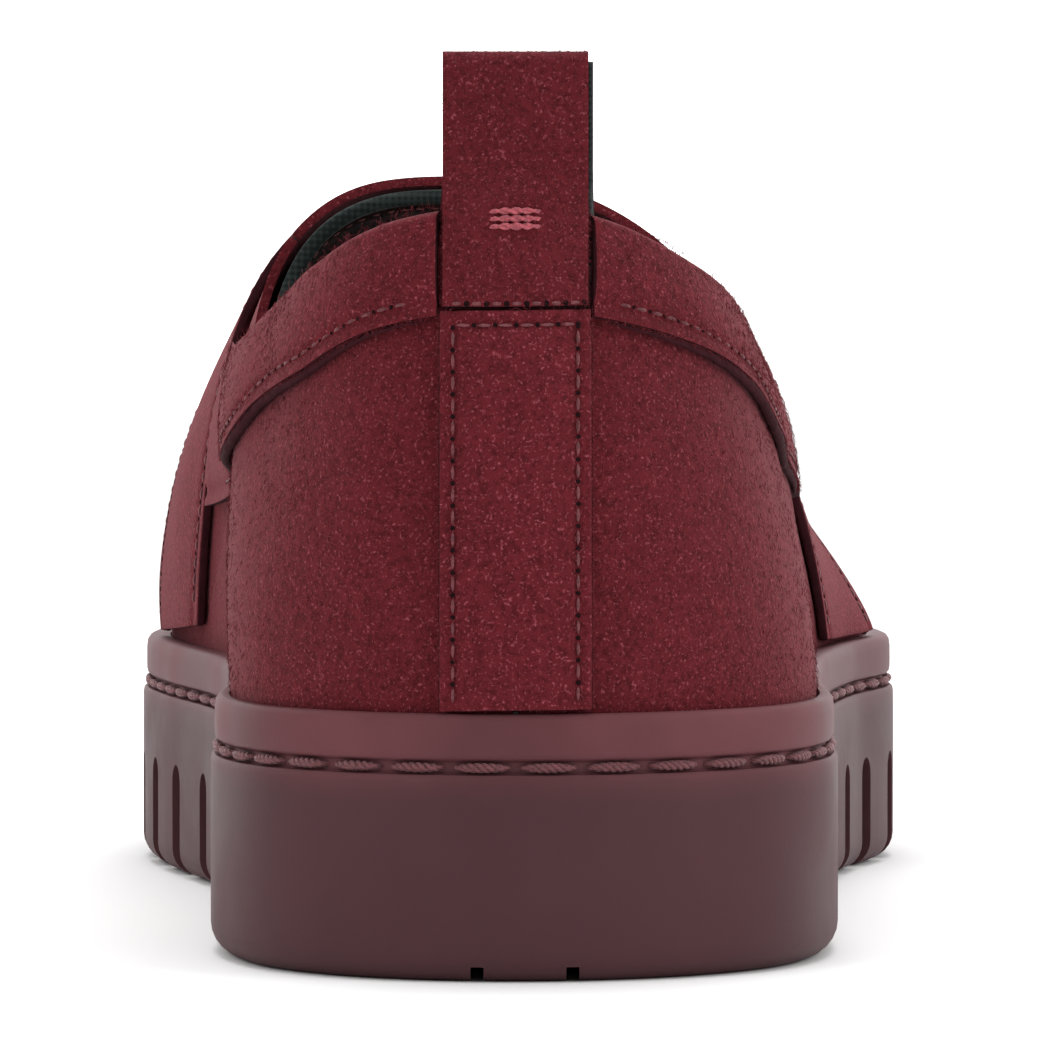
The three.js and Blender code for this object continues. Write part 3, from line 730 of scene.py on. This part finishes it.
# Vamp and plug: the suede forepart. The vamp goes round the toe and its top edge is turned up and
# gathered against the plug, which makes the raised moccasin ridge.
def vamp_rise(v, top, foot=0.12):
    return np.where(v < foot, v / foot - 1, mix(0, top, (v - foot) / (1 - foot)))


def vamp_place(u, v):
    edges = []
    for side in (1, -1):
        edge = np.full(u.shape, 6.6)
        for _ in range(10):
            edge = quarter_front(height_at(side * edge, vamp_rise(v, plug_edge(edge))))
        edges.append(edge + 0.012)
    station = mix(edges[0], round_all - edges[1], u)
    return station, vamp_rise(v, plug_edge(station) - 0.004)


def toe_share(u):
    return np.clip((u - 0.12) / 0.2, 0, 1) * np.clip((0.88 - u) / 0.2, 0, 1)


def vamp_out(u, v):
    gather = toe_share(u)
    ridge = near(1 - v, 0.035) * 1.5 * np.clip(gather * 3, 0, 1)
    pucker = np.sin(u * 2 * math.pi * 52) * near(1 - v, 0.1) * 0.28 * gather
    return suede_out + ridge + pucker


cut_sheet("vamp_suede", 420, 60, vamp_place, vamp_out, hide, body_suede, "suede", ["vamp"])


def plug_place(u, v):
    station = mix(throat, toe, v)
    return across(u, station), 1 - np.abs(2 * u - 1) * (1 - plug_edge(station) - 0.004)


def plug_out(u, v):
    side = np.abs(2 * u - 1)
    front = np.clip((v - 0.25) / 0.1, 0, 1)
    return suede_out + near(1 - side, 0.07) * 1.1 * front - 0.5 * near(side - 0.8, 0.1) * front


cut_sheet("plug_suede", 72, 150, plug_place, plug_out, hide, body_suede, "suede", ["vamp_plug"], joined=True)


# Saddle strap: a cross strap of the same suede laid over the instep and down both sides to the
# rim, sewn along its cut edges, with a plain lens-shaped slot in the middle.
strap_foot = float(rise_at(7.6, 0.9))


def strap_place(u, v):
    rise = 1 - np.abs(2 * u - 1) * (1 - strap_foot)
    return across(u, mix(saddle_rear(rise), saddle_front(rise), v)), rise


def strap_out(u, v):
    across_mm = 28 * np.minimum(v, 1 - v)
    return trim_out + 0.35 * np.sin(np.clip(v, 0, 1) * math.pi) - 0.35 * near(across_mm - 2.2, 0.7)


strap = cut_sheet(
    "saddle_strap_suede", 220, 56, strap_place, strap_out, hide, trim_suede, "suede_trim", ["saddle_strap"]
)
edged(strap)
lens = bmesh.new()
bmesh.ops.create_circle(lens, cap_ends=True, segments=48, radius=1)
for vert in lens.verts:
    vert.co.y = math.copysign((1 - vert.co.x**2) * 0.2083, vert.co.y) if abs(vert.co.y) > 1e-4 else 0
bmesh.ops.scale(lens, verts=lens.verts, vec=(0.012, 0.012, 1))
grown = bmesh.ops.extrude_face_region(lens, geom=list(lens.faces))
grown_verts = [g for g in grown["geom"] if isinstance(g, bmesh.types.BMVert)]
bmesh.ops.translate(lens, verts=grown_verts, vec=(0, 0, 0.024))
middle = skin(np.array([7.0]), np.array([1.0]), np.array([0.0]))[0]
bmesh.ops.translate(lens, verts=lens.verts, vec=(middle[0], middle[1] - 0.003, middle[2] - 0.008))
bmesh.ops.recalc_face_normals(lens, faces=lens.faces)
carve(strap, loose_mesh(lens, "slot_punch"))
for extra in list(strap.modifiers):
    strap.modifiers.remove(extra)

# Collar bands: a suede strip round each side of the mouth, sewn down over the quarter along a raw
# cut edge, and rolled over the padded topline to its inside.
backstay_width = 17.6


def band_parts(v):
    low = np.clip(v / 0.6, 0, 1)
    over = np.clip((v - 0.6) / 0.3, 0, 1)
    inside = np.clip((v - 0.9) / 0.1, 0, 1)
    return low, over, inside


def collar_band(side, name, node):
    edge = side * (backstay_width / 2 + 0.3)

    def height_of(station, share):
        return mix(collar_low(side * station), topline(side * station), share)

    def place(u, v):
        low, over, inside = band_parts(v)
        rear = side * across_heel(edge, height_of(0.7, low), np.full(u.shape, trim_out))
        front = np.full(u.shape, 6.7)
        for _ in range(8):
            front = saddle_rear(rise_at(side * front, height_of(front, low))) - 0.024
        station = mix(rear, front, u)
        roll = np.clip((6.0 - station) / 0.5, 0, 1)
        top = topline(side * station) - top_drop
        height = mix(collar_low(side * station), top, low)
        height = height + mix(1.6 * over, 1.7 * np.sin(over * math.pi) - 3.4 * inside, roll)
        return side * station, rise_at(side * station, height)

    def out(u, v):
        low, over, inside = band_parts(v)
        station = mix(0.7, 6.6, u)
        roll = np.clip((6.0 - station) / 0.5, 0, 1)
        middle, radius = 2.05, 3.35
        rolled = middle + radius * np.cos(over * math.pi)
        flat = trim_out + 0.5 * np.sin(low * math.pi) * (over <= 0)
        wide = topline(side * station) - collar_low(side * station)
        flat = flat - 0.4 * near(low * wide - 1.8, 0.7) * (over <= 0)
        return np.where(over > 0, mix(trim_out, rolled, roll), flat)

    return edged(cut_sheet(name, 150, 44, place, out, hide, trim_suede, "suede_trim", [node], edge=0.25))


collar_band(1, "collar_band_suede_outer", "collar_band_outer")
collar_band(-1, "collar_band_suede_inner", "collar_band_inner")


# Backstay: a straight suede strip over the heel seam from the rim to the pull tab, with a row of
# stitches just inside each edge.
def backstay_place(u, v):
    height = mix(0.4, 45.4, v)
    station = across_heel((u - 0.5) * backstay_width, height, np.full(u.shape, trim_out))
    return station, rise_at(station, height)


def backstay_out(u, v):
    from_edge = backstay_width * np.minimum(u, 1 - u)
    from_top = 46 * (1 - v)
    seams = near(from_edge - 1.6, 0.6) + near(from_top - 1.6, 0.6)
    return trim_out + 0.15 * np.sin(u * math.pi) - 0.35 * np.clip(seams, 0, 1)


edged(cut_sheet(
    "backstay_suede", 40, 90, backstay_place, backstay_out, hide, trim_suede, "suede_trim", ["backstay"],
    edge=0.25,
))


# Throat binding: a narrow dark green tape folded over the rear edge of the vamp lining, where the
# foot goes in, with its own fine row of stitches.
binding_cloth = weave_look("binding_tape", (0.006, 0.0095, 0.009), (0.019, 0.027, 0.025), 0.4, 0.1, 0.12)
station_mm = 29.9


def binding_place(u, v):
    turn = (v - 0.5) * math.pi * 1.25
    station = throat - (0.9 + 0.75 * np.cos(turn)) / station_mm
    station = across(u, station)
    foot = rise_at(station, topline(station) + 0.6)
    return station, 1 - np.abs(2 * u - 1) * (1 - foot)


cut_sheet(
    "throat_binding_tape", 200, 12, binding_place,
    lambda u, v: 0.8 + 0.95 * np.sin((v - 0.5) * math.pi * 1.25),
    0.5, binding_cloth, "binding", ["throat_binding"], edge=0,
)

# Pull tab: one suede strap sewn over the top of the heel outside, folded into a loop above the
# topline, and sewn down again inside, backed by a dark tape that shows along its edge.
loop_box = [np.array(corner) * 1000 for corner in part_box("pull_tab")]
loop_y = (loop_box[0][1] + loop_box[1][1]) / 2
loop_top = loop_box[1][2]
tab_width, loop_radius = 16.8, 1.7


def heel_place(x, height, out):
    out = np.full(x.shape, float(out))
    station = across_heel(x, height, out)
    return skin(station, rise_at(station, height), out) * 1000


def strap_path(u, v, width, inset, shift=0.0):
    x = (u - 0.5) * width + shift
    out_leg = heel_place(x, mix(45.8, 56.6, np.clip(v / 0.2, 0, 1)), trim_out - inset)
    in_leg = heel_place(x, mix(56.6, 36.5, np.clip((v - 0.8) / 0.2, 0, 1)), -1.6 + inset)
    radius = loop_radius - inset
    crown_z = loop_top - loop_radius
    points = np.where((v < 0.5)[:, None], out_leg, in_leg)
    for side, first, last_v in ((-1, 0.2, 0.45), (1, 0.8, 0.55)):
        share = np.clip((v - first) / (last_v - first), 0, 1)
        leg = out_leg if side < 0 else in_leg
        settle = np.clip(share * 2.6, 0, 1)
        settle = settle * settle * (3 - 2 * settle)
        y = mix(leg[:, 1], loop_y + side * radius, settle)
        z = mix(leg[:, 2], crown_z, share)
        here = ((v - first) * -side >= 0) & ((v - 0.5) * side >= 0)
        points = np.where(here[:, None], np.stack([heel_x + x, y, z], -1), points)
    over = np.clip((v - 0.45) / 0.1, 0, 1)
    turn = math.pi * over
    crown = np.stack([heel_x + x, loop_y - radius * np.cos(turn), crown_z + radius * np.sin(turn)], -1)
    points = np.where(((v > 0.45) & (v < 0.55))[:, None], crown, points)
    return points / 1000


def bends(piece):
    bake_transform(piece)


def strap_piece(name, width, inset, shift, thickness, finish, replaces):
    bm, u, v = sheet_grid(30, 240)
    put(bm, strap_path(u, v, width, inset, shift))
    bm.normal_update()
    lowest = min(bm.faces, key=lambda f: f.calc_center_median().y)
    if lowest.normal.y > 0:
        bmesh.ops.reverse_faces(bm, faces=bm.faces)
    piece = loose_mesh(bm, name, finish)
    thicken(piece, thickness, 0.25 if thickness > 1 else 0)
    if replaces:
        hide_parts(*replaces)
    return piece


tab_suede = suede("tab_suede", tuple(c * 0.95 for c in nap_colour), 1.0, 0.57)
tab_nodes = ["tab_outer_leg", "pull_tab", "tab_inner_leg"]
tab = strap_piece("pull_tab_suede", tab_width, 0, 0, hide, tab_suede, tab_nodes)
edged(tab)
bends(tab)
tape_cloth = weave_look("tab_tape", (0.008, 0.009, 0.01), (0.025, 0.026, 0.027), 0.4, 0.08)
tape = strap_piece("tab_backing_tape", tab_width + 0.3, hide, 0.4, 0.3, tape_cloth, [])
bends(tape)


# Thread: every visible stitch is a short twisted strand, thickest in its middle, that dives into
# the needle hole at each end.
def thread_look(name, colour, gloss=0.55):
    finish, tree, shader = finish_nodes(name, gloss, 0.3, (1, 0.7, 0.7), 0.35)
    place = object_place(tree)
    shade = spread(tree, noise_of(tree, place, 0.35, 2), 0.3, 0.7)
    dark, light = (tuple(c * k for c in colour) for k in (0.6, 1.4))
    tree.links.new(tint(tree, shade, dark, light), shader.inputs["Base Color"])
    tree.links.new(bump(tree, noise_of(tree, place, 0.15), 0.04, 0.8), shader.inputs["Normal"])
    return finish


def strand(bm, path, facing, radius, plies=1, sides=6, turns=0.0, squash=1.0):
    count = len(path)
    ahead = np.gradient(path, axis=0)
    ahead /= np.linalg.norm(ahead, axis=1, keepdims=True)
    up = facing - (facing * ahead).sum(1, keepdims=True) * ahead
    up /= np.linalg.norm(up, axis=1, keepdims=True)
    side = np.cross(ahead, up)
    share = np.linspace(0, 1, count)
    swell = np.sqrt(np.clip(np.sin(np.clip(share, 0.002, 0.998) * math.pi), 0, 1))
    for ply in range(plies):
        turn = 2 * math.pi * (turns * share + ply / plies)
        off = 0.0 if plies == 1 else radius * 0.5
        middle = path + (up * np.cos(turn)[:, None] + side * np.sin(turn)[:, None]) * off * swell[:, None]
        thick = radius if plies == 1 else radius * 0.56
        made = bmesh.ops.create_grid(bm, x_segments=sides, y_segments=count - 1, size=1)["verts"]
        flat = np.array([vert.co[:] for vert in made])
        around = (flat[:, 0] + 1) * math.pi
        row = np.rint((flat[:, 1] + 1) / 2 * (count - 1)).astype(int)
        ring_at = up[row] * np.cos(around)[:, None] * squash + side[row] * np.sin(around)[:, None]
        for vert, point in zip(made, middle[row] + ring_at * thick * swell[row][:, None]):
            vert.co = point


def thread_mesh(bm, name, finish, replaces=()):
    bmesh.ops.remove_doubles(bm, verts=bm.verts, dist=4e-6)
    bmesh.ops.recalc_face_normals(bm, faces=bm.faces)
    finish_mesh(bm, name, finish, replaces=replaces)


def thread_piece(name, finish, fill, replaces=()):
    bm = bmesh.new()
    fill(bm)
    thread_mesh(bm, name, finish, replaces)


# points in metres along a row, and the directions that face out of the sheet there
def surface_row(stations, rises, out):
    out = np.full(np.shape(stations), float(out))
    points = skin(stations, rises, out)
    return points, skin(stations, rises, out + 1) * 1000 - points * 1000


def lengths(points):
    return np.concatenate([[0], np.cumsum(np.linalg.norm(np.diff(points, axis=0), axis=1) * 1000)])


def walk(at, run, points):
    return np.stack([np.interp(at, run, points[:, i]) for i in range(3)], -1)


def sew(bm, hole_shade_bm, points, facing, pitch, length, radius, sink=0.25):
    run = lengths(points)
    total = int(run[-1] // pitch)
    for k in range(total):
        wander = noise.noise(Vector((k * 0.7, run[-1], 0))) * 0.12
        middle = (k + 0.5) * run[-1] / total
        at = middle + np.linspace(-0.5, 0.5, 7) * length * (1 + wander)
        path, face = walk(at, run, points), walk(at, run, facing)
        dive = np.abs(np.linspace(-1, 1, 7)) ** 3 * sink
        strand(bm, path - face * dive[:, None] / 1000, face, radius / 1000, squash=0.8)
        # each needle hole is a flat dark disc on the surface: painted shade of the hole
        if hole_shade_bm is not None:
            gap = middle + 0.5 * run[-1] / total
            out = Vector(walk(gap, run, facing)).normalized()
            turned = out.to_track_quat("Z", "Y").to_matrix().to_4x4()
            matrix = Matrix.Translation(walk(gap, run, points)) @ turned
            size = Matrix.Diagonal((radius * 1.5 / 1000, radius * 1.5 / 1000, 0.09 / 1000, 1))
            matrix = matrix @ size
            bmesh.ops.create_uvsphere(hole_shade_bm, u_segments=7, v_segments=4, radius=1, matrix=matrix)


seam_thread = thread_look("seam_thread", (0.13, 0.028, 0.035))
# needle holes are flat near-black discs: painted shade inside each hole
hole_shade_look = plain_look("needle_holes", (0.012, 0.004, 0.005), 1.0, 0.4, 0.02)


def collar_row(side):
    station = np.linspace(0.86, 6.55, 260)
    height = collar_low(side * station) + 1.9
    return surface_row(side * station, rise_at(side * station, height), trim_out + 0.02)


def heel_row(x, height, out):
    station = across_heel(x, height, np.full(np.shape(x), out))
    return surface_row(station, rise_at(station, height), out)


def strap_row(side, v):
    rise = np.linspace(strap_foot + 0.02, 1, 90)
    station = mix(saddle_rear(rise), saddle_front(rise), v)
    return surface_row(side * station, rise, trim_out + 0.02)


seams, hole_shades = bmesh.new(), bmesh.new()
for side in (-1, 1):
    sew(seams, hole_shades, *collar_row(side), 2.35, 1.75, 0.2)
    for v in (0.075, 0.925):
        sew(seams, hole_shades, *strap_row(side, v), 2.6, 1.9, 0.22)
    along_edge = np.linspace(1.0, 43.4, 120)
    sew(seams, hole_shades, *heel_row(np.full(120, side * 7.2), along_edge, trim_out + 0.05), 2.5, 1.7, 0.2)
crosswise = np.linspace(-7.2, 7.2, 60)
sew(seams, hole_shades, *heel_row(crosswise, np.full(60, 43.7), trim_out + 0.08), 2.4, 1.7, 0.2)
sew(seams, hole_shades, *heel_row(crosswise * 1.1, np.full(60, 46.1), trim_out + 0.02), 2.1, 1.3, 0.24)
thread_mesh(seams, "upper_stitches", seam_thread)
thread_mesh(hole_shades, "needle_holes", hole_shade_look)


# Throat stitches: a fine row through the lining just inside the green binding.
def throat_row(bm):
    u = np.linspace(0.05, 0.95, 260)
    station = np.full(260, throat + 1.6 / station_mm)
    foot = rise_at(across(u, station), topline(station) + 2)
    rise = 1 - np.abs(2 * u - 1) * (1 - foot)
    points, facing = surface_row(across(u, station), rise, -0.06)
    sew(bm, None, points, -facing, 1.85, 1.3, 0.13)


binding_thread = thread_look("binding_thread", (0.2, 0.06, 0.06))
thread_piece("throat_stitches", binding_thread, throat_row)


# Bar tack: three short parallel stitches of thick rose thread across the front of the tab, just
# under the topline, that hold the two legs of the tab together through the collar.
def bar_tack(bm):
    for height in (54.7, 55.55, 56.4):
        x = np.linspace(-3.3, 3.3, 15)
        points, facing = heel_row(x, np.full(15, height), 5.65)
        dive = np.abs(np.linspace(-1, 1, 15)) ** 5 * 0.6
        strand(bm, points - facing * dive[:, None] / 1000, facing, 0.46 / 1000, 2, 8, 2.5)


rose_thread = thread_look("rose_thread", (0.36, 0.065, 0.085), 0.45)
thread_piece("bar_tack_stitches", rose_thread, bar_tack, ["tab_bar_tack"])


# Sole thread: thick three-ply stitches lying in the groove under the rim, each going back into
# the rubber at both ends.
sole_pitch = 7.8


def groove_line():
    stations = np.linspace(0, round_all, 1401)
    points = sole_point(stations, rim_out(stations) - 0.82, np.full(1401, 24.65))
    _, side = rim_plan(stations, rim_out(stations))
    facing = np.concatenate([side, np.zeros((1401, 1))], 1)
    return points, facing


def sole_stitches(bm):
    points, facing = groove_line()
    run = lengths(points)
    total = int(round(run[-1] / sole_pitch))
    for k in range(total):
        at = np.clip((k + 0.5) * run[-1] / total + np.linspace(-3.45, 3.45, 19), 0, run[-1])
        path, face = walk(at, run, points), walk(at, run, facing)
        dive = np.abs(np.linspace(-1, 1, 19)) ** 6 * 0.9
        path -= face * dive[:, None] / 1000
        strand(bm, path, face, 0.58 / 1000, 3, 7, 2.6)


sole_thread = thread_look("sole_thread", (0.12, 0.034, 0.04), 0.5)
thread_piece("sole_stitches", sole_thread, sole_stitches, ["sole_stitch"])


# Moccasin seam: thick stitches over the gathered edge of the vamp, round the toe from one side of
# the strap to the other.
def moc_stitches(bm):
    count = 46
    for k in range(count):
        station = mix(8.35, round_all - 8.35, (k + 0.5) / count)
        rises = plug_edge(station) + np.linspace(-0.045, 0.05, 9)
        lift_off = 4.5 + 0.75 * np.sin(np.linspace(0, math.pi, 9))
        lift_off = lift_off - np.abs(np.linspace(-1, 1, 9)) ** 4 * 0.8
        stations_here = np.full(9, station)
        points = skin(stations_here, rises, lift_off)
        facing = skin(stations_here, rises, lift_off + 1) * 1000 - points * 1000
        strand(bm, points, facing, 0.5 / 1000, 2, 7, 1.5)


thread_piece("moccasin_stitches", seam_thread, moc_stitches, ["moc_seam_thread"])


# The cut edge of each collar band: a slightly swollen roll of raw hide under the stitches, coloured dark as
# painted shade of the band's downward-facing edge.
def raw_edge_shade_roll(bm):
    for side in (-1, 1):
        station = np.linspace(0.76, 6.6, 240)
        height = collar_low(side * station) - 0.25
        points, facing = surface_row(side * station, rise_at(side * station, height), trim_out - 0.75)
        wave = np.array([noise.noise(Vector((float(a) * 9, side, 0))) for a in station]) * 0.18
        strand(bm, points + facing * wave[:, None] / 1000, facing, 0.62 / 1000, 1, 8)


thread_piece("collar_raw_edges", raw_edge_shade, raw_edge_shade_roll)


# Nap: loose suede fibres lying over the quarters, collar and tab, and standing out raggedly where
# the hide is cut or rolled over an edge.
chance = np.random.default_rng(7)


def fibres(whole, points, facing, along_way, lay, length):
    facing = facing / np.linalg.norm(facing, axis=1, keepdims=True)
    along_way = along_way / np.maximum(np.linalg.norm(along_way, axis=1, keepdims=True), 1e-12)
    across_way = np.cross(facing, along_way)
    bm = bmesh.new()
    for k, (point, out, ahead, aside) in enumerate(zip(points, facing, along_way, across_way)):
        swing = chance.uniform(-math.pi, math.pi)
        way = out * lay * chance.uniform(0.4, 1.4) + ahead * math.cos(swing) + aside * math.sin(swing)
        long = length * chance.uniform(0.6, 1.5) / 1000
        turned = Vector(way).normalized().to_track_quat("Z", "Y").to_matrix().to_4x4()
        middle = Vector(point) + Vector(way).normalized() * long * 0.45
        matrix = Matrix.Translation(middle) @ turned
        bmesh.ops.create_cone(
            bm, cap_ends=True, segments=3, radius1=4e-5, radius2=1.2e-5, depth=long, matrix=matrix
        )
        if k % 200 == 199 or k == len(points) - 1:
            bm = poured(bm, whole)
    bm.free()


# moves one small batch into the whole piece and starts the next
def poured(batch, whole):
    batch_mesh = bpy.data.meshes.new("batch")
    batch.to_mesh(batch_mesh)
    batch.free()
    whole.from_mesh(batch_mesh)
    bpy.data.meshes.remove(batch_mesh)
    return bmesh.new()


def scatter(bm, stations, rises, outs):
    points = skin(stations, rises, outs)
    facing = (skin(stations, rises, outs + 1) - points) * 1000
    ahead = (skin(stations + 0.02, rises, outs) - points) * 1000
    fibres(bm, points, facing, ahead, 0.3, 0.75)


def quarter_nap(bm):
    for side in (-1, 1):
        station = chance.uniform(0.4, 6.2, 3400)
        height = chance.uniform(0, 1, 3400) * collar_low(side * station)
        scatter(bm, side * station, rise_at(side * station, height), np.full(3400, suede_out + 0.02))


def band_nap(bm):
    for side in (-1, 1):
        station = chance.uniform(0.75, 6.3, 2400)
        share = chance.uniform(0.02, 1, 2400)
        height = mix(collar_low(side * station), topline(side * station) - 1.4, share)
        bulge = trim_out + 0.5 * np.sin(share * math.pi)
        scatter(bm, side * station, rise_at(side * station, height), bulge - 0.02)


def backstay_nap(bm):
    x, height = chance.uniform(-8.6, 8.6, 1100), chance.uniform(0.8, 57, 1100)
    out = np.full(1100, trim_out + 0.08)
    station = across_heel(x, height, out)
    scatter(bm, station, rise_at(station, height), out)


def tab_nap(bm):
    u, v = chance.uniform(0.01, 0.99, 900), chance.uniform(0.2, 0.55, 900)
    points = strap_path(u, v, tab_width, 0)
    facing = np.array([[0.0, -1.0, 0.2 * float(k > 0.46)] for k in v])
    upward = np.tile([0.0, 0.05, 1.0], (900, 1))
    fibres(bm, points, facing, upward, 0.3, 0.7)


def edge_nap(bm):
    for side in (-1, 1):
        for low_edge in (True, False):
            station = chance.uniform(0.72, 6.5, 900)
            top = topline(side * station)
            height = collar_low(side * station) if low_edge else top + 0.1
            out = np.full(900, trim_out - 0.3) if low_edge else chance.uniform(1.2, 4.4, 900)
            points = skin(side * station, rise_at(side * station, height), out)
            higher = skin(side * station, rise_at(side * station, height + 0.5), out)
            away = (higher - points) * (-1000 if low_edge else 1000)
            ahead = (skin(side * station + 0.02, rise_at(side * station, height), out) - points) * 1000
            fibres(bm, points, away, ahead, 1.1, 0.6)
        height = chance.uniform(0.6, 57, 500)
        x = np.where(height > 45.6, 8.4, 8.8) * side
        out = np.full(500, trim_out - 0.4)
        station = across_heel(x, height, out)
        points = skin(station, rise_at(station, height), out)
        fibres(bm, points, np.tile([float(side), 0, 0], (500, 1)), np.tile([0, 0, 1.0], (500, 1)), 0.8, 0.45)


fibre_look = suede("loose_fibres", tuple(c * 1.25 for c in nap_colour), 1.0, 0.9)
thread_piece("nap_quarters", fibre_look, quarter_nap)
thread_piece("nap_collar", fibre_look, band_nap)
thread_piece("nap_backstay", fibre_look, backstay_nap)
thread_piece("nap_edges", fibre_look, edge_nap)
tab_fuzz = bmesh.new()
tab_nap(tab_fuzz)
tab_fibres = loose_mesh(tab_fuzz, "nap_tab", fibre_look)
bends(tab_fibres)
